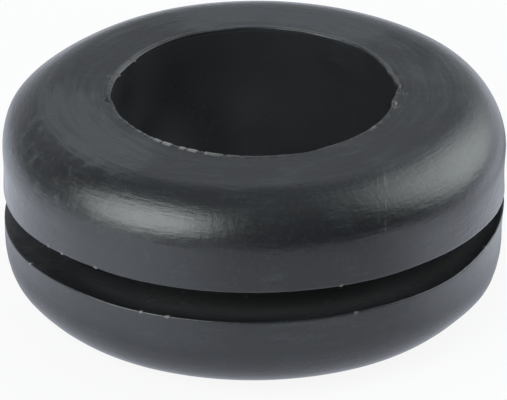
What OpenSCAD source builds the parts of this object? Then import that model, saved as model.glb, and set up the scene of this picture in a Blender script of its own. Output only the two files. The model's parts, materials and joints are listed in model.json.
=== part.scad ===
// Rubber grommet: one moulded ring that lines a hole in a sheet-metal panel.
// Its groove grips the edge of the panel, and a cable passes through its bore.
// The ring is the same above and below the groove. +Z runs along the bore, and
// the origin is at the centre of the lower flat face.

/* [Ring] */
// Outside diameter of the two flanges
outer_d = 25; // [21:0.5:40]
// Diameter of the bore that the cable passes through
bore_d = 14; // [4:0.5:17]

/* [Panel groove] */
// Diameter of the panel hole that the floor of the groove seats in
panel_hole_d = 19; // [16:0.5:24]
// Width of the groove, a little over the thickness of the panel
groove_w = 1.6; // [0.8:0.1:4]

/* [Flanges] */
// Thickness of each flange, from the groove to its flat face
flange_t = 4.45; // [3.1:0.05:8]
// Radius of the round shoulder between the flat face and the outer side
shoulder_r = 3; // [0.5:0.1:4.4]

/* [Hidden] */
$fn = 180;

bore_r = bore_d / 2;
outer_r = outer_d / 2;
groove_floor_r = panel_hole_d / 2;
ring_h = 2 * flange_t + groove_w;
// Where the shoulder's arc leaves the flat face and where it leaves the side
flat_r = outer_r - shoulder_r;
side_h = flange_t - shoulder_r;

// Half section of one flange, with the groove's wall on y = 0
module flange_section() {
    translate([bore_r, 0]) square([flat_r - bore_r, flange_t]);
    translate([bore_r, 0]) square([outer_r - bore_r, side_h]);
    translate([flat_r, side_h]) shoulder_quarter();
}

// Quarter disc that rounds a flange's outer edge
module shoulder_quarter() {
    intersection() {
        circle(r = shoulder_r);
        square(shoulder_r);
    }
}

// Half section of the neck between the flanges, out to the groove's floor
module neck_section() {
    translate([bore_r, flange_t]) square([groove_floor_r - bore_r, groove_w]);
}

// Half section of the whole ring
module ring_section() {
    translate([0, flange_t + groove_w]) flange_section();
    neck_section();
    translate([0, flange_t]) mirror([0, 1]) flange_section();
}

// The whole grommet, one piece of soft black rubber
module grommet() {
    color("#3a3c40") rotate_extrude() ring_section();
}

grommet();
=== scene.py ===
import json
import math

import bmesh
import bpy
from mathutils import Matrix, Vector, noise


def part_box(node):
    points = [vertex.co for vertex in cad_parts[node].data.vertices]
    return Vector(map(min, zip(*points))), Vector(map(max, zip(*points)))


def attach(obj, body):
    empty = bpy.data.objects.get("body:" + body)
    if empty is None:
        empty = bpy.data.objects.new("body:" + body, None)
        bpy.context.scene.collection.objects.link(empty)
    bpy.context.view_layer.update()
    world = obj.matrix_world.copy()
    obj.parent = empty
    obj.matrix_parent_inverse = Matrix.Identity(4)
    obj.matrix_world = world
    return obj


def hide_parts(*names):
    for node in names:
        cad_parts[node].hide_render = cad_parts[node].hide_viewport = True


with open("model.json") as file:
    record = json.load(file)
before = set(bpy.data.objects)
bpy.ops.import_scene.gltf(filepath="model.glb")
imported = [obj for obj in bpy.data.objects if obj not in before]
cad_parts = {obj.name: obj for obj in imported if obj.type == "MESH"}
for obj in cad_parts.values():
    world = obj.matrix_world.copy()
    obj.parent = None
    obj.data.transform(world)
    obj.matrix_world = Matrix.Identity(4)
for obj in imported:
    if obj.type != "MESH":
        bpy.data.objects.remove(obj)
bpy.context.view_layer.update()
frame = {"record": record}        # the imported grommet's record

mm = 0.001
ringLow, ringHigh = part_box("grommet")
mounts = {mount["name"]: mount for mount in frame["record"]["mounts"]}
boreR = mounts["cable_bore"]["dims"]["r_mm"]                # these four in mm
grooveR = mounts["panel_groove"]["pos_m"][0] / mm           # out to the groove's floor
outerR = ringHigh.x / mm
height = ringHigh.z / mm
hair = 0.01                      # mm, for telling which face a point lies on
trace = 0.01                     # a share smaller than this counts as none
upward = Vector((0.0, 0.0, 1.0))
print("frame loaded, ring sides in mm:", [round(side / mm, 3) for side in ringHigh - ringLow])


class Wire:
    # a shader socket that takes + - * / ** and adds the Math nodes for them
    def __init__(self, tree, socket):
        self.tree = tree
        self.socket = socket

    def math(self, operation, first, second=0.0):
        return self.tree.add("ShaderNodeMath", {"operation": operation}, {0: first, 1: second})

    def __add__(self, other):
        return self.math("ADD", self, other)

    def __radd__(self, other):
        return self.math("ADD", other, self)

    def __sub__(self, other):
        return self.math("SUBTRACT", self, other)

    def __rsub__(self, other):
        return self.math("SUBTRACT", other, self)

    def __mul__(self, other):
        return self.math("MULTIPLY", self, other)

    def __rmul__(self, other):
        return self.math("MULTIPLY", other, self)

    def __truediv__(self, other):
        return self.math("DIVIDE", self, other)

    def __rtruediv__(self, other):
        return self.math("DIVIDE", other, self)

    def __pow__(self, other):
        return self.math("POWER", self, other)

    def __rpow__(self, other):
        return self.math("POWER", other, self)

    def size(self):
        return self.math("ABSOLUTE", self)

    def swing(self, strength):
        # a noise about its middle, this strong
        return (self - 0.5) * strength

    def atMost(self, other):
        return self.math("MINIMUM", self, other)

    def atLeast(self, other):
        return self.math("MAXIMUM", self, other)


class NodeTree:
    # any node comes from add(): settings first, then socket values or links
    def __init__(self, owner):
        owner.use_nodes = True
        self.nodes = owner.node_tree.nodes
        self.links = owner.node_tree.links
        self.nodes.clear()

    def add(self, kind, settings=None, inputs=None, out=0):
        node = self.nodes.new(kind)
        for name, value in (settings or {}).items():
            if name == "stops":
                self.setStops(node.color_ramp, value)
            else:
                setattr(node, name, value)
        for name, value in (inputs or {}).items():
            if isinstance(value, Wire):
                self.links.new(value.socket, node.inputs[name])
            else:
                node.inputs[name].default_value = value
        return Wire(self, node.outputs[out]) if node.outputs else node

    def setStops(self, ramp, stops):
        while len(ramp.elements) < len(stops):
            ramp.elements.new(1.0)
        for element, (place, level) in zip(ramp.elements, stops):
            element.position = place
            element.color = (level, level, level, 1.0)

    def smooth(self, value, low, high):
        # 0 below low, 1 above high, an eased step between them
        return self.add("ShaderNodeMapRange", {"interpolation_type": "SMOOTHSTEP"},
                        {"Value": value, "From Min": low, "From Max": high})

    def split(self, vector):
        return [self.add("ShaderNodeSeparateXYZ", {}, {0: vector}, out=axis) for axis in range(3)]

    def vector(self, x=0.0, y=0.0, z=0.0):
        return self.add("ShaderNodeCombineXYZ", {}, {0: x, 1: y, 2: z})

    def scaled(self, vector, factor):
        return self.add("ShaderNodeVectorMath", {"operation": "SCALE"}, {0: vector, "Scale": factor})

    def plus(self, first, second):
        return self.add("ShaderNodeVectorMath", {"operation": "ADD"}, {0: first, 1: second})

    def dot(self, first, second):
        return self.add("ShaderNodeVectorMath", {"operation": "DOT_PRODUCT"}, {0: first, 1: second},
                        out="Value")

    def grain(self, vector, scale, detail=2.0, rough=0.5):
        return self.add("ShaderNodeTexNoise", {}, {
            "Vector": vector, "Scale": scale, "Detail": detail, "Roughness": rough})

    def mixColour(self, amount, first, second):
        # 6 and 7 are the Mix node's two colour sockets, and 2 its colour output
        return self.add("ShaderNodeMix", {"data_type": "RGBA"}, {0: amount, 6: first, 7: second}, out=2)

    def near(self, direction, side, reach, lift=0.0, core=0.0):
        # 1 where a direction points this way, fading to 0 at reach degrees from it
        least, most = math.cos(math.radians(reach)), math.cos(math.radians(reach * core))
        return self.smooth(self.dot(direction, toward(side, lift)), least, most)


def toward(side, lift):
    # the direction this far right of the camera's side and this far up
    turn, rise = math.radians(side), math.radians(lift)
    level = math.cos(rise)
    return Vector((math.sin(turn) * level, -math.cos(turn) * level, math.sin(rise)))


shot = {
    "elevation": 28.25,       # degrees above the horizon
    "distance": 218.0,        # mm from the ring's middle
    "lens": 310.4,            # this and the sensor in mm
    "sensor": 36.0,
    "aimBelow": 0.793,        # mm down the view, from the ring's middle to the aim
    "aimLeft": 0.055,         # and mm to the left
    "roll": 0.39,             # degrees, right side of the ring a little high
    "seesFrom": 0.01,         # metres, nearest and farthest
    "seesTo": 10.0,
}


def makeCamera():
    back = toward(0.0, shot["elevation"])
    frameUp = Vector((0.0, back.z, -back.y))
    shift = frameUp * shot["aimBelow"] + Vector((shot["aimLeft"], 0.0, 0.0))
    aim = (ringLow + ringHigh) / 2 - shift * mm
    data = bpy.data.cameras.new("studioCamera")
    data.lens = shot["lens"]
    data.sensor_width = shot["sensor"]
    data.clip_start = shot["seesFrom"]
    data.clip_end = shot["seesTo"]
    camera = bpy.data.objects.new("studioCamera", data)
    turn = (-back).to_track_quat("-Z", "Y").to_matrix().to_4x4()
    roll = Matrix.Rotation(-math.radians(shot["roll"]), 4, "Z")
    camera.matrix_world = Matrix.Translation(aim + back * shot["distance"] * mm) @ turn @ roll
    bpy.context.collection.objects.link(camera)
    bpy.context.scene.camera = camera
    print("camera placed")


ringForm = {                  # mm; places round the ring are degrees to the right of the front
    "grooveWidth": 1.6,
    "shoulder": 3.0,          # radius of the round outer edges
    "lipRound": 0.07,         # softening of the groove's lips
    "floorRound": 0.15,       # fillet at the groove's floor
    "beadWidth": 0.22,        # half-round lip that the mould leaves on the upper bore rim
    "beadHeight": 0.075,
    "lowerRim": 0.10,         # rounding of the bore's lower rim
    # how fine the faces are: steps in each rounding, and the longest edge in each part
    "steps": {"upperShoulder": 24, "lowerShoulder": 14, "lip": 3, "fillet": 2, "bead": 6},
    "longest": {"outside": 0.25, "bore": 1.6, "groove": 0.8, "underside": 1.0, "lips": 0.08,
                "rim": 0.07},
    "lipBand": 0.3,           # finer faces this far beside the lips, for the burrs
    "rimBand": 0.9,           # finer faces this far out from the bore, for the nicks
    "rimDepth": 0.25,         # and this far down into it
    "turns": 720,             # faces round the ring
    "weld": 0.001,            # points nearer than this become one
    "outsideFrom": -0.2,      # the outside begins this far out from the groove's floor
    # how far each groove lip drops at the ring's left and right side
    "upperLipDrop": (0.56, 0.64),
    "lowerLipDrop": (0.58, -0.19),
    "dropBegins": 0.62,       # share of the way from the middle to a side
    "dropBend": 1.6,          # 1 is an even slope, more is a late one
    # where a lip hangs further down: degrees round, spread, mm
    "upperLipSag": [(37, 20, 0.10), (91, 10, 0.22), (61, 8, -0.05), (-35, 16, 0.04)],
    "lowerLipSag": [(50, 15, 0.15), (-36, 15, 0.10)],
    # soft hollows (-) and swellings (+): degrees round, height, spread round, spread up, depth
    "dents": [
        (86, 3.1, 16, 1.3, -0.14), (86, 6.7, 14, 0.8, -0.08), (68, 1.5, 9, 0.8, 0.09),
        (-70, 1.6, 14, 1.0, 0.09), (-88, 7.0, 9, 0.7, -0.05), (-102, 8.9, 14, 0.9, 0.12),
        (-131, 10.0, 14, 0.9, -0.06), (120, 9.5, 17, 0.9, 0.06),
        (-36, 0.5, 18, 0.9, 0.04), (34, 0.5, 18, 0.9, 0.04),
    ],
    "dentEnds": 3,            # a dent ends this many spreads from its middle
    "waveSize": 2.6,
    "waveHeight": 0.012,
    "footFade": 0.3,          # the underside stays flat: waves and dents are full this far up
    # flash left by the mould: degrees round, spread in degrees, how far it stands out
    "boreFlash": [(-116, 15.0, 0.17), (-104, 0.8, 0.12), (-119, 0.8, 0.14), (-165, 20.0, 0.08),
                  (-84, 6.0, -0.07), (-68, 7.0, -0.05), (-62, 1.0, 0.05), (-27, 13.0, 0.06),
                  (20, 6.0, -0.08), (79, 4.5, 0.13), (92, 2.5, -0.14), (105, 2.6, 0.08),
                  (116, 13.0, 0.07), (166, 9.0, 0.05)],
    "upperFlash": [(-48, 0.35, 0.05), (-37.7, 0.42, 0.07), (19, 0.35, 0.05), (-53, 0.3, 0.03)],
    "lowerFlash": [(-26, 0.3, 0.03), (-19.7, 0.36, 0.04), (64.8, 0.3, 0.03), (22.7, 0.25, 0.02),
                   (-61.5, 0.35, 0.03)],
    "burrReach": 0.07,        # how far across a lip the burrs reach
    "burrLean": 0.5,          # how far they lean into the groove, as a share of their height
    "rimReach": (0.10, 0.15, 0.12),   # the rim's flash is full this wide, and fades out and down
    # raggedness of the lips and of the bore rim: marks round the ring, mm
    "lipRagged": (31.0, 0.014),
    "rimRagged": (15.0, 0.02),
    "rimPattern": 9.0,        # any other number gives the bore rim another ragged line
    # where the bead is worn down (share of its height), and where its top gets a painted highlight
    "beadWorn": [(22, 30.0, 0.85), (60, 14.0, 0.60), (-70, 12.0, 0.60), (84, 10.0, 0.55),
                 (-125, 24.0, 0.70), (150, 12.0, 0.70), (-170, 20.0, 0.45)],
    "beadUneven": (6.0, 0.2),         # marks round the ring, share of its height
    # painted highlight on the bead's top, where the soft boxes glint on it: degrees round, spread, amount
    "beadPale": [(-31, 19.0, 0.85), (-113, 18.0, 0.25), (56, 4.0, 0.30), (80, 8.0, 0.15),
                 (104, 12.0, 0.15), (158, 14.0, 0.15)],
    # torn bits of the bead: marks round the ring, large and small, the share that the small ones
    # have, how common tears are, how soft their ends are, the share of the height that is gone,
    # and the share of the ring's radius over which they end between its front and its back
    "tears": {"marks": (17.0, 41.0), "small": 0.5, "common": 0.05, "soft": 0.13, "gone": 0.75,
              "frontFade": 0.5},
    "palePlace": (0.09, 0.09, 0.10),  # painted highlight on the bead: mm out from the bore, wide, tall
    "paleBurr": (0.10, 0.08, 0.55),   # painted glint on a burr: mm wide, mm tall, how pale
    # nicks (+) and folds (-) in the flat face beside the bore:
    # degrees round, mm out from the bore, spread round, spread out, depth
    "nicks": [(-83, 0.27, 2.2, 0.09, 0.13), (-102, 0.34, 1.1, 0.16, -0.03), (91.5, 0.26, 1.5, 0.12, 0.10),
              (88, 0.45, 1.6, 0.11, 0.09), (104, 0.27, 3.0, 0.07, 0.08), (77, 0.25, 2.6, 0.07, 0.09)],
}


def beadCorners():
    # the half-round lip on the upper bore rim, from the flat face in to the bore
    steps = ringForm["steps"]["bead"]
    angles = [math.pi * step / steps for step in range(steps + 1)]
    return [(boreR + ringForm["beadWidth"] * (1 + math.cos(angle)) / 2,
             height + ringForm["beadHeight"] * math.sin(angle)) for angle in angles]


def profileCorners():
    # corners of the half section, up the outside and back down the bore
    middle = height / 2
    half = ringForm["grooveWidth"] / 2
    beside = half + ringForm["lipBand"]
    within = outerR - ringForm["lipBand"]
    outside = [(boreR, 0.0), (outerR, 0.0), (outerR, middle - beside), (outerR, middle - half),
               (within, middle - half), (grooveR, middle - half), (grooveR, middle + half),
               (within, middle + half), (outerR, middle + half), (outerR, middle + beside),
               (outerR, height)]
    inside = [(boreR, height - ringForm["rimDepth"])]
    return outside + [(boreR + ringForm["rimBand"], height)] + beadCorners() + inside


def roundCorners(section, corners, radius, steps):
    found = []
    for x, z in corners:
        place = Vector((x, 0.0, z)) * mm
        found.append(min(section.verts, key=lambda vert: (vert.co - place).length))
    bmesh.ops.bevel(section, geom=found, offset=radius * mm, offset_type="OFFSET", segments=steps,
                    profile=0.5, affect="VERTICES", material=-1)


def longestEdge(middle, tall):
    # how long an edge of the half section may stay, by where its middle lies
    longest = ringForm["longest"]
    half = ringForm["grooveWidth"] / 2
    fromGroove = abs(middle.z - height / 2)
    if tall and middle.x < boreR + hair:
        return longest["bore"]
    if fromGroove < half + hair and grooveR - hair < middle.x < outerR - ringForm["lipBand"]:
        return longest["groove"]
    if middle.z < hair:
        return longest["underside"]
    if fromGroove < half + ringForm["lipBand"]:
        return longest["lips"]
    if middle.z > height - hair and middle.x < boreR + ringForm["rimBand"]:
        return longest["rim"]
    return longest["outside"]


def cutLongEdges(section):
    # short edges where the outside shows, longer ones in the bore, the groove and underneath
    for edge in list(section.edges):
        first, second = edge.verts[0].co, edge.verts[1].co
        tall = abs(first.z - second.z) > 2 * ringForm["rimDepth"] * mm
        longest = longestEdge((first + second) / 2 / mm, tall)
        cuts = int(edge.calc_length() / (longest * mm))
        if cuts > 0:
            bmesh.ops.subdivide_edges(section, edges=[edge], cuts=cuts)


def clamp(value):
    return min(1.0, max(0.0, value))


def bell(*distances):
    # 1 in the middle of a feature, falling off smoothly round it
    return math.exp(-sum(distance * distance for distance in distances))


def turnBetween(first, second):
    return (first - second + 180.0) % 360.0 - 180.0


def addedUp(features, turn):
    # what features along the ring (degrees round, spread, amount) add up to at this turn
    return sum(amount * bell(turnBetween(turn, where) / spread) for where, spread, amount in features)


def ringPlace(vert):
    # one point in mm, its radius, its degrees to the right of the front, and its way outwards
    place = vert.co / mm
    radius = math.hypot(place.x, place.y)
    turn = math.degrees(math.atan2(place.x, -place.y))
    return place, radius, turn, Vector((place.x / radius, place.y / radius, 0.0))


def lipDrop(turn, z):
    # towards its sides the ring's groove runs lower than at the front
    begins = ringForm["dropBegins"]
    sideways = abs(math.sin(math.radians(turn)))
    side = max(0.0, (sideways - begins) / (1 - begins)) ** ringForm["dropBend"]
    hand = 1 if turn > 0 else 0
    upper = ringForm["upperLipDrop"][hand] * side + addedUp(ringForm["upperLipSag"], turn)
    lower = ringForm["lowerLipDrop"][hand] * side + addedUp(ringForm["lowerLipSag"], turn)
    half = ringForm["grooveWidth"] / 2
    shoulder = ringForm["shoulder"]
    straight = height / 2 - shoulder - half       # the upright part of each flange's side
    reach = clamp(min((height - shoulder - z) / straight, (z - shoulder) / straight))
    blend = clamp((z - height / 2 + half) / (2 * half))
    return -reach * (upper * blend + lower * (1.0 - blend))


def grooveLips():
    # each lip's height, and the way into the groove
    half = ringForm["grooveWidth"] / 2
    return {"upperFlash": (height / 2 + half, -1), "lowerFlash": (height / 2 - half, 1)}


def beadGap(outward):
    # 1 where a bit of the bead has torn away with the flash, which it did along the front
    tears = ringForm["tears"]
    large, small = tears["marks"]
    tooth = noise.noise(outward * large) + tears["small"] * noise.noise(outward * small)
    front = clamp(0.5 - outward.y / tears["frontFade"])
    return front * clamp((tears["common"] - tooth) / tears["soft"])


def paintedHighlights(vert):
    # how strongly one point is painted pale: a painted highlight on the bead's top and painted glints on
    # the burrs of the groove's lips
    place, radius, turn, outward = ringPlace(vert)
    out, wide, tall = ringForm["palePlace"]
    pale = 0.0
    across = bell((radius - boreR - out) / wide, (place.z - height) / tall)
    if across > trace:
        for where, spread, amount in ringForm["beadPale"]:
            pale = max(pale, across * amount * bell(turnBetween(turn, where) / spread))
        pale *= 1.0 - beadGap(outward)
    # painted glints on the burrs of both groove lips
    wide, tall, most = ringForm["paleBurr"]
    for name, (lip, _) in grooveLips().items():
        near = bell((radius - outerR) / wide, (place.z - lip) / tall)
        for where, spread, _ in ringForm[name]:
            pale = max(pale, most * near * bell(turnBetween(turn, where) / spread))
    return pale


def swelling(place, turn, outer):
    # waves all over, with soft hollows and swellings on the outside
    swell = ringForm["waveHeight"] * noise.noise(place / ringForm["waveSize"])
    for where, rise, spreadRound, spreadUp, depth in ringForm["dents"]:
        away = turnBetween(turn, where) / spreadRound
        if outer and abs(away) < ringForm["dentEnds"]:
            swell += depth * bell(away, (place.z - rise) / spreadUp)
    return swell * min(1.0, place.z / ringForm["footFade"])


def burrShift(place, radius, turn, outward):
    # burrs and a slight raggedness along both lips of the groove
    marks, depth = ringForm["lipRagged"]
    shift = Vector()
    for name, (lip, side) in grooveLips().items():
        near = bell((radius - outerR) / ringForm["burrReach"], (place.z - lip) / ringForm["burrReach"])
        if near > trace:
            ragged = depth * noise.noise(outward * marks + upward * lip) + addedUp(ringForm[name], turn)
            shift += (outward + upward * (ringForm["burrLean"] * side)) * (near * ragged)
    return shift


def rimShift(place, radius, turn, outward):
    # worn and torn stretches of the bead, and flash that stands into the bore
    flat, fadeOut, fadeDown = ringForm["rimReach"]
    near = bell(max(0.0, radius - boreR - flat) / fadeOut, (place.z - height) / fadeDown)
    if near <= trace:
        return Vector()
    marks, share = ringForm["beadUneven"]
    worn = ringForm["tears"]["gone"] * beadGap(outward) + share * noise.noise(outward * marks)
    worn = min(1.0, worn + addedUp(ringForm["beadWorn"], turn))
    marks, depth = ringForm["rimRagged"]
    inward = depth * noise.noise(outward * marks + upward * ringForm["rimPattern"])
    inward += addedUp(ringForm["boreFlash"], turn)
    return -upward * (worn * max(0.0, place.z - height)) - outward * (near * inward)


def nickShift(place, radius, turn):
    # nicks and folds in the flat face beside the bore
    sink = 0.0
    if place.z > height - hair:
        for where, out, spreadRound, spreadOut, depth in ringForm["nicks"]:
            away = (radius - boreR - out) / spreadOut
            sink += depth * bell(turnBetween(turn, where) / spreadRound, away)
    return -upward * sink


def skinShift(vert):
    # how far one point of the true ring moves
    place, radius, turn, outward = ringPlace(vert)
    outer = radius > grooveR + ringForm["outsideFrom"]
    shift = vert.normal * swelling(place, turn, outer)
    if outer:
        shift += upward * lipDrop(turn, place.z)
    shift += burrShift(place, radius, turn, outward) + rimShift(place, radius, turn, outward)
    return (shift + nickShift(place, radius, turn)) * mm


def spinByWedges(section, doublings=4):
    # a wedge of the turn is spun, then doubled again and again: far quicker than one long spin
    wedges = 2 ** doublings
    wedge = math.tau / wedges
    bmesh.ops.spin(section, geom=section.verts[:] + section.edges[:], cent=(0, 0, 0), axis=(0, 0, 1),
                   angle=wedge, steps=ringForm["turns"] // wedges, use_merge=False)
    for doubling in range(doublings):
        copied = bmesh.ops.duplicate(section, geom=section.verts[:] + section.edges[:] + section.faces[:])
        verts = [item for item in copied["geom"] if isinstance(item, bmesh.types.BMVert)]
        bmesh.ops.rotate(section, verts=verts, cent=(0, 0, 0),
                         matrix=Matrix.Rotation(wedge * 2 ** doubling, 3, "Z"))


def makeSection():
    # the rounded and finely cut outline of half the ring, on the X Z plane
    low = height / 2 - ringForm["grooveWidth"] / 2
    high = height / 2 + ringForm["grooveWidth"] / 2
    steps = ringForm["steps"]
    section = bmesh.new()
    section.faces.new([section.verts.new(Vector((x, 0.0, z)) * mm) for x, z in profileCorners()])
    roundCorners(section, [(outerR, height)], ringForm["shoulder"], steps["upperShoulder"])
    roundCorners(section, [(outerR, 0.0)], ringForm["shoulder"], steps["lowerShoulder"])
    roundCorners(section, [(outerR, low), (outerR, high)], ringForm["lipRound"], steps["lip"])
    roundCorners(section, [(grooveR, low), (grooveR, high)], ringForm["floorRound"], steps["fillet"])
    roundCorners(section, [(boreR, 0.0)], ringForm["lowerRim"], steps["fillet"])
    cutLongEdges(section)
    bmesh.ops.delete(section, geom=section.faces[:], context="FACES_ONLY")
    return section


def makeRing():
    solid = makeSection()
    spinByWedges(solid)
    bmesh.ops.remove_doubles(solid, verts=solid.verts[:], dist=ringForm["weld"] * mm)
    bmesh.ops.recalc_face_normals(solid, faces=solid.faces[:])
    solid.normal_update()
    # the painted highlight and glints, kept on each point
    pale = solid.verts.layers.float.new("pale")
    for vert in solid.verts:
        vert[pale] = paintedHighlights(vert)
    shifts = [skinShift(vert) for vert in solid.verts]
    for vert, shift in zip(solid.verts, shifts):
        vert.co += shift
    mesh = bpy.data.meshes.new("mouldedRing")
    solid.to_mesh(mesh)
    solid.free()
    mesh.polygons.foreach_set("use_smooth", [True] * len(mesh.polygons))
    ring = bpy.data.objects.new("mouldedRing", mesh)
    bpy.context.collection.objects.link(ring)
    print("ring made,", len(mesh.polygons), "faces")
    return ring


rubberLook = {                # places in mm, sizes of noise in marks per mm, detail, roughness
    "black": (0.0112, 0.0126, 0.0142, 1.0),
    "flash": (0.60, 0.60, 0.57, 1.0),        # painted highlight on the bead, painted glints on the burrs, and the pale scratches
    "gloss": 0.25,            # roughness
    "bend": 1.62,             # index of refraction
    "mottle": 0.12,           # how much the roughness wanders
    "dullBore": 0.10,         # added to the roughness inside the bore
    "dullFlash": 0.25,
    # noises that several finishes share
    "cloud": (0.45, 4.0, 0.6),
    "smear": (1.6, 4.0, 0.65),
    "streakRough": 0.55,
    "film": {                 # the grey film that rubber sweats out
        "colour": (0.0395, 0.0430, 0.0475, 1.0),
        # where it lies on the top face: degrees right of the front, reach in degrees, amount
        "places": {
            "farSide": (166.0, 55.0, 0.95),
            "leftSide": (-63.0, 38.0, 0.80),
            "rightSide": (98.0, 32.0, 0.30),
        },
        "depths": (0.4, 0.05),               # under the top face: none at the first, all at the second
        "outFromBore": (-0.2, 1.8),          # least at the first, all at the second
        "least": 0.4,
        # how strongly it gathers in clouds and streaks; streaks: marks per radian, per mm, detail
        "clouds": 1.1,
        "streaks": 1.3,
        "streakSize": (4.0, 3.2, 3.0),
        "fineSize": (2.6, 8.0, 2.0),
        "fineMiddle": 0.48,
        "fineDepths": (1.5, 0.3),
        "range": (-0.05, 0.90),              # sums that count as none and as full
    },
    "dust": {                 # painted fill light: the groove's bottom painted lighter, where it lies in shade
        "colour": (0.078, 0.078, 0.077, 1.0),
        "halfWidths": (1.5, 1.0),            # of the groove: none at the first, all at the second
        "insets": (0.1, 1.2),                # in from the outer side
        "underFloor": (0.6, 0.3),            # none on the bore's side of the neck
        "middle": 0.6,                       # how much at the front, and how much more at the right
        "rightMore": 0.4,
    },
    "marks": {                # pale lines and blots that drops of water leave on one shoulder
        "colour": (0.050, 0.051, 0.052, 1.0),
        "side": -58.0,
        "facing": (0.86, 0.98),              # cosines where they begin and are full
        "ragged": 0.2,
        "depths": (3.3, 2.1),
        "insets": (2.7, 1.9),
        "inClouds": (0.35, 0.55),
        "lineSize": (0.7, 1.6, 0.5),
        "lineWidth": 0.040,
        "lines": 0.22,
        "blotSize": (1.5, 3.0, 0.55),
        "blotRange": (0.46, 0.70),
        "blots": 0.75,
    },
    "speckle": {              # fine dust on the black
        "size": (6.0, 3.0, 0.7),
        "range": (0.46, 0.72),
        "amount": 0.24,
    },
    "scratches": {            # fine ones down the front of the shoulder
        "lines": [(5.86, 0.03), (6.20, 0.09), (6.30, 0.04)],      # mm right of the middle, how pale
        "width": 0.07,
        "waver": 0.2,
        "depths": (2.6, 2.0),
        "insets": (2.2, 1.8),
        "front": (-7.6, -8.2),               # y: none behind the first
        "patches": (0.44, 0.60),
    },
    "bore": {
        "skin": (0.023, 0.0243, 0.0262, 1.0),
        # painted fill light: a lighter colour low on the bore's left, where it lies in shade
        "dust": (0.130, 0.1345, 0.141, 1.0),
        "edge": 0.02,
        "rim": 0.2,                          # the skin of the top face reaches this far down
        "across": (4.0, -3.5),               # painted lighter from the first x to the second
        "down": (1.5, 6.0),                  # and from the first depth to the second
        "high": 0.27,                        # how much of it lies above that
    },
    "relief": {               # heights in mm
        "cellSize": 3.4,
        "cells": 0.007,                      # soft orange peel
        "stepSize": (15.0, 5.0),
        "steps": 0.014,                      # short wavy steps that run round the ring
        "drawSize": (55.0, 1.1),
        "drawLines": 0.006,                  # fine lines down the profile
        "ringSize": (1.6, 4.5),
        "rings": 0.005,
        "boreFade": 0.1,                     # none in the bore, full this far out from it
    },
}


class RubberPlace:
    # where a point of the rubber lies, in mm, and the noises that several finishes share
    def __init__(self, tree):
        self.tree = tree
        self.at = tree.scaled(tree.add("ShaderNodeTexCoord", {}, {}, out="Object"), 1 / mm)
        self.x, self.y, self.z = tree.split(self.at)
        self.radius = (self.x * self.x + self.y * self.y) ** 0.5
        self.depth = height - self.z                      # under the top face
        self.inset = outerR - self.radius                 # in from the outer side
        self.fromBore = self.radius - boreR
        self.fromGroove = (self.z - height / 2).size()
        self.along = self.radius - self.fromGroove        # falls from each groove lip to the bore
        self.edge = tree.vector(self.x / self.radius, self.y / self.radius)
        self.cloud = tree.grain(self.at, *rubberLook["cloud"])
        self.smear = tree.grain(self.at, *rubberLook["smear"])

    def streaks(self, perRadian, perMm, detail=2.0):
        # noise in marks along the ring and marks along the profile: few make long streaks
        climb = self.tree.vector(0.0, 0.0, self.along * perMm)
        spot = self.tree.plus(self.tree.scaled(self.edge, perRadian), climb)
        return self.tree.grain(spot, 1.0, detail, rubberLook["streakRough"])

    def shoulder(self, depths, insets):
        # 0 at the first depth and inset, 1 at the second ones, further up and out
        return self.tree.smooth(self.depth, *depths) * self.tree.smooth(self.inset, *insets)


def filmAmount(skin):
    tree, film = skin.tree, rubberLook["film"]
    amount = 0.0
    for side, reach, most in film["places"].values():
        amount = (tree.near(skin.edge, side, reach) * most).atLeast(amount)
    outward = tree.smooth(skin.fromBore, *film["outFromBore"]) * (1 - film["least"]) + film["least"]
    amount = amount * tree.smooth(skin.depth, *film["depths"]) * outward
    amount = amount + skin.cloud.swing(film["clouds"])
    amount = amount + skin.streaks(*film["streakSize"]).swing(film["streaks"])
    fine = skin.streaks(*film["fineSize"]) - film["fineMiddle"]
    amount = amount + fine * tree.smooth(skin.depth, *film["fineDepths"])
    return tree.smooth(amount, *film["range"])


def paintedGrooveFill(skin):
    # painted fill light in the groove's bottom, more of it towards the right
    tree, dust = skin.tree, rubberLook["dust"]
    far, near = [ringForm["grooveWidth"] / 2 * share for share in dust["halfWidths"]]
    deep = (tree.smooth(skin.fromGroove, far, near) * tree.smooth(skin.inset, *dust["insets"])
            * tree.smooth(grooveR - skin.radius, *dust["underFloor"]))
    return deep * (skin.x / outerR * dust["rightMore"] + dust["middle"])


def markAmount(skin):
    # marks of water on one shoulder, and fine dust all over
    tree, marks, speckle = skin.tree, rubberLook["marks"], rubberLook["speckle"]
    facing = tree.dot(skin.edge, toward(marks["side"], 0.0)) + skin.smear.swing(marks["ragged"])
    where = (tree.smooth(facing, *marks["facing"]) * skin.shoulder(marks["depths"], marks["insets"])
             * tree.smooth(skin.cloud, *marks["inClouds"]))
    lines = tree.smooth((tree.grain(skin.at, *marks["lineSize"]) - 0.5).size(), marks["lineWidth"], 0.0)
    blots = tree.smooth(tree.grain(skin.at, *marks["blotSize"]), *marks["blotRange"])
    dusty = tree.smooth(tree.grain(skin.at, *speckle["size"]), *speckle["range"]) * speckle["amount"]
    return ((lines * marks["lines"] + blots * marks["blots"]) * where + dusty).atMost(1.0)


def scratchAmount(skin):
    tree, scratches = skin.tree, rubberLook["scratches"]
    amount = 0.0
    for right, pale in scratches["lines"]:
        away = (skin.x - right + skin.cloud.swing(scratches["waver"])).size()
        amount = tree.smooth(away, scratches["width"], 0.0) * pale + amount
    return (amount * skin.shoulder(scratches["depths"], scratches["insets"])
            * tree.smooth(skin.y, *scratches["front"]) * tree.smooth(skin.smear, *scratches["patches"]))


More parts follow.
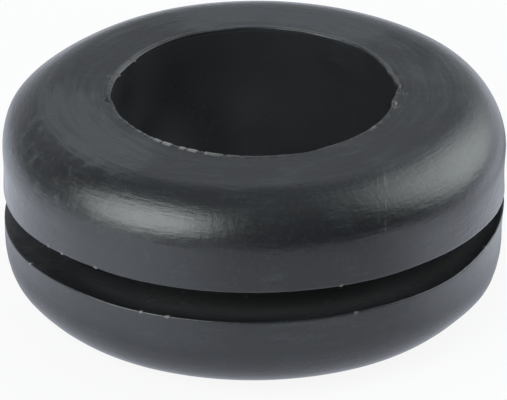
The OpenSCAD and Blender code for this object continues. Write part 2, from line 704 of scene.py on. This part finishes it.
def boreColourAndPaintedFill(skin):
    # 1 inside the bore, and the colour of its skin, painted lighter low on the left, where the bore lies
    # in shade
    tree, bore = skin.tree, rubberLook["bore"]
    inBore = (tree.smooth(skin.fromBore, bore["edge"], -bore["edge"])
              * tree.smooth(skin.depth, 0.0, bore["rim"]))
    low = tree.smooth(skin.depth, *bore["down"]) * (1 - bore["high"]) + bore["high"]
    paintedFillShare = tree.smooth(skin.x, *bore["across"]) * low
    return inBore, tree.mixColour(paintedFillShare, bore["skin"], bore["dust"])


def skinRelief(skin):
    tree, relief = skin.tree, rubberLook["relief"]
    waves = (tree.grain(skin.at, relief["cellSize"]) * relief["cells"]
             + skin.streaks(*relief["stepSize"]) * relief["steps"]
             + skin.streaks(*relief["drawSize"]) * relief["drawLines"]
             + skin.streaks(*relief["ringSize"]) * relief["rings"])
    return waves * tree.smooth(skin.fromBore, 0.0, relief["boreFade"])


def makeRubber():
    material = bpy.data.materials.new("blackRubber")
    tree = NodeTree(material)
    skin = RubberPlace(tree)
    # the bore's mask, and its colour with painted fill light low on its left
    inBore, boreColour = boreColourAndPaintedFill(skin)
    pale = tree.add("ShaderNodeAttribute", {"attribute_name": "pale"}, {}, out="Fac")
    colour = tree.mixColour(filmAmount(skin), rubberLook["black"], rubberLook["film"]["colour"])
    # painted fill light in the groove's bottom
    colour = tree.mixColour(paintedGrooveFill(skin), colour, rubberLook["dust"]["colour"])
    colour = tree.mixColour(markAmount(skin), colour, rubberLook["marks"]["colour"])
    colour = tree.mixColour(inBore, colour, boreColour)
    # painted highlight on the bead, painted glints on the burrs, and the pale scratches
    colour = tree.mixColour((pale + scratchAmount(skin)).atMost(1.0), colour, rubberLook["flash"])
    # also rougher where the highlight and glints are painted
    roughness = (rubberLook["gloss"] + (skin.smear + skin.cloud - 1.0) * rubberLook["mottle"]
                 + inBore * rubberLook["dullBore"] + pale * rubberLook["dullFlash"])
    bumps = tree.add("ShaderNodeBump", {}, {"Height": skinRelief(skin), "Distance": mm, "Strength": 1.0})
    shader = tree.add("ShaderNodeBsdfPrincipled", {}, {
        "Base Color": colour, "Roughness": roughness, "Normal": bumps,
        "IOR": rubberLook["bend"]})
    tree.add("ShaderNodeOutputMaterial", {}, {"Surface": shader})
    return material


studio = {
    # soft boxes: degrees right of the camera and up, width and height in metres, degrees turned
    # about their own axis, brightness at the brightest spot, where that spot is (shares of the
    # half width and half height), where the fade to the edge begins, how far they dull from there
    "boxes": {
        "leftBox": {"side": -62.0, "lift": 35.0, "width": 0.95, "tall": 1.13, "roll": -53.0,
                    "bright": 5.95, "spot": (0.37, 0.45), "edge": 0.12, "dulls": 0.60,
                    "colour": (0.95, 1.0, 0.99)},
        "rightBox": {"side": 112.0, "lift": 30.0, "width": 1.34, "tall": 1.10, "roll": -63.0,
                     "bright": 3.2, "spot": (0.13, -0.50), "edge": 0.10, "dulls": 0.36,
                     "colour": (0.93, 1.0, 1.0)},
    },
    "boxReach": 0.6,          # metres from the ring
    "boxCorner": 2.5,         # how square the fade is: 2 is round
    # the room's brightness, from the horizon in front (0) over the top to the horizon behind (1)
    "room": [(0.0, 0.28), (0.11, 0.06), (0.19, 0.16), (0.28, 0.13), (0.36, 0.23), (0.45, 0.29),
             (0.56, 0.28), (0.62, 0.24), (0.66, 0.29), (0.705, 0.44), (0.745, 0.62), (0.78, 0.71),
             (0.81, 0.45), (0.835, 0.33), (0.91, 0.48), (1.0, 0.57)],
    "flagCore": 0.3,          # share of a flag's reach where it is full
    # black flags in the room, and one pale card (-): degrees right of the camera, degrees up,
    # reach in degrees, share of the light that is lost
    "flags": {
        "backLeftFlag": (-116.0, 22.0, 36.0, 0.37),
        "rightFlag": (99.0, 0.0, 22.0, 0.70),
        "cameraCard": (-17.0, 15.0, 21.0, -1.8),
    },
    "roomColour": (0.90, 0.94, 1.0, 1.0),
    "floorGap": 0.02,         # mm under the ring, so that the two flat faces don't mix
    "floorReach": 2.0,        # metres from its middle to each side
    "floorPaint": (0.80, 0.81, 0.84, 1.0),
    "floorGloss": 0.20,       # roughness of the white sheet
    "floorBend": 1.5,         # index of refraction
    "white": (1.0, 1.0, 1.0, 1.0),           # what the camera sees of the floor and the room
    "floorSky": (0.83, 0.87, 0.97, 1.0),
    "floorSeen": 0.90,        # share of plain white where the camera sees the floor
    "floorMirrored": 0.93,    # the floor's brightness where the rubber mirrors it
    # painted glows (+) and painted shade (-) there: degrees right of the camera, reach in degrees,
    # mm from the middle where each begins and is full, amount
    "floorPatches": {
        "frontGlow": (10.0, 80.0, 15.0, 20.0, 0.12),
        "frontCard": (18.0, 62.0, 17.0, 25.0, -0.33),
        "leftGlow": (-75.0, 75.0, 14.0, 19.0, 0.47),
        "farLeftGlow": (-60.0, 40.0, 50.0, 100.0, 0.30),
        "backLeftCard": (-122.0, 46.0, 38.0, 100.0, -0.70),
        "rightGlow": (88.0, 46.0, 13.0, 17.5, 0.69),
        "rightShade": (110.0, 63.0, 17.5, 24.5, -0.44),
        "rightCard": (93.0, 34.0, 52.0, 98.0, -1.10),
        "backRightCard": (130.0, 40.0, 14.0, 18.0, -0.28),
        "backRightGlow": (128.0, 42.0, 22.0, 32.0, 0.76),
        "backGlow": (-165.0, 60.0, 40.0, 80.0, 0.30),
        "contactShade": (180.0, 130.0, 20.0, 14.0, -0.55),
    },
    "holeLight": 0.10,        # brightness of the floor inside the hole
    "holeEdge": 0.3,          # mm that it fades over, on each side of the bore's wall
}


def makeGlow(data, box, away, turn):
    # brightest at its spot, dulling from there and fading out at the edge
    tree = NodeTree(data)
    place = tree.add("ShaderNodeNewGeometry", {}, {}, out="Position")
    offset = tree.plus(place, away * -studio["boxReach"])
    across = tree.dot(offset, turn.col[0] * 2 / box["width"])
    climb = tree.dot(offset, turn.col[1] * 2 / box["tall"])
    corner = studio["boxCorner"]
    edge = (across.size() ** corner + climb.size() ** corner) ** (1 / corner)
    across, climb = across - box["spot"][0], climb - box["spot"][1]
    dome = 1 - (across * across + climb * climb) * box["dulls"]
    fade = (1 - tree.smooth(edge, box["edge"], 1.0)) * dome.atLeast(0.0)
    glow = tree.add("ShaderNodeEmission", {}, {"Strength": fade})
    tree.add("ShaderNodeOutputLight", {}, {"Surface": glow})


def makeSoftBox(name, box):
    away = toward(box["side"], box["lift"])
    roll = Matrix.Rotation(math.radians(box["roll"]), 3, "Z")
    turn = (-away).to_track_quat("-Z", "Y").to_matrix() @ roll
    data = bpy.data.lights.new(name, "AREA")
    data.shape = "RECTANGLE"
    data.size, data.size_y = box["width"], box["tall"]
    data.energy = box["bright"] * box["width"] * box["tall"] * math.pi
    data.color = box["colour"]
    makeGlow(data, box, away, turn)
    lamp = bpy.data.objects.new(name, data)
    lamp.matrix_world = Matrix.Translation(away * studio["boxReach"]) @ turn.to_4x4()
    lamp.visible_camera = False
    bpy.context.collection.objects.link(lamp)


def makeWorld():
    world = bpy.data.worlds.new("studioRoom")
    bpy.context.scene.world = world
    tree = NodeTree(world)
    direction = tree.add("ShaderNodeTexCoord", {}, {}, out="Generated")
    _, back, up = tree.split(direction)
    lift = back.math("ARCTAN2", up, 0 - back)      # 0 in front, half a turn behind
    level = tree.add("ShaderNodeValToRGB", {"stops": studio["room"]}, {0: lift / math.pi})
    for side, rise, reach, loss in studio["flags"].values():
        near = tree.near(direction, side, reach, lift=rise, core=studio["flagCore"])
        level = level * (1 - near * loss)
    seen = tree.add("ShaderNodeLightPath", {}, {}, out="Is Camera Ray")
    strength = seen + (1 - seen) * level
    tint = tree.mixColour(seen, studio["roomColour"], studio["white"])
    light = tree.add("ShaderNodeBackground", {}, {"Color": tint, "Strength": strength})
    tree.add("ShaderNodeOutputWorld", {}, {"Surface": light})


def mirroredFloor(tree):
    # how bright the rubber sees the floor: patches round the ring, and dark in its hole
    x, y, _ = tree.split(tree.scaled(tree.add("ShaderNodeTexCoord", {}, {}, out="Object"), 1 / mm))
    radius = (x * x + y * y) ** 0.5
    outward = tree.vector(x / radius, y / radius)
    level = studio["floorMirrored"]
    for side, reach, start, stop, extra in studio["floorPatches"].values():
        level = level + tree.near(outward, side, reach) * tree.smooth(radius, start, stop) * extra
    outside = tree.smooth(radius, boreR - studio["holeEdge"], boreR + studio["holeEdge"])
    return level.atLeast(0.0) * outside + (1 - outside) * studio["holeLight"]


def makeFloorPaint():
    material = bpy.data.materials.new("paleFloor")
    tree = NodeTree(material)
    seen = tree.add("ShaderNodeLightPath", {}, {}, out="Is Camera Ray")
    mirrored = tree.add("ShaderNodeLightPath", {}, {}, out="Is Glossy Ray")
    paint = tree.add("ShaderNodeBsdfPrincipled", {}, {
        "Base Color": studio["floorPaint"], "Roughness": studio["floorGloss"],
        "IOR": studio["floorBend"]})
    tint = tree.mixColour(mirrored, studio["white"], studio["floorSky"])
    strength = seen + mirrored * mirroredFloor(tree)
    glow = tree.add("ShaderNodeEmission", {}, {"Color": tint, "Strength": strength})
    amount = (seen * studio["floorSeen"] + mirrored).atMost(1.0)
    mixed = tree.add("ShaderNodeMixShader", {}, {0: amount, 1: paint, 2: glow})
    tree.add("ShaderNodeOutputMaterial", {}, {"Surface": mixed})
    return material


def makeFloor():
    sheet = bmesh.new()
    bmesh.ops.create_grid(sheet, x_segments=1, y_segments=1, size=studio["floorReach"])
    mesh = bpy.data.meshes.new("studioFloor")
    sheet.to_mesh(mesh)
    sheet.free()
    mesh.materials.append(makeFloorPaint())
    floor = bpy.data.objects.new("studioFloor", mesh)
    floor.location.z = -studio["floorGap"] * mm
    bpy.context.collection.objects.link(floor)


makeCamera()
ring = makeRing()
ring.data.materials.append(makeRubber())
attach(ring, "root")
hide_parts("grommet")
print("rubber finished")

for boxName, boxValues in studio["boxes"].items():
    makeSoftBox(boxName, boxValues)
makeWorld()
makeFloor()
bpy.context.scene.view_settings.view_transform = "Standard"
print("studio ready")
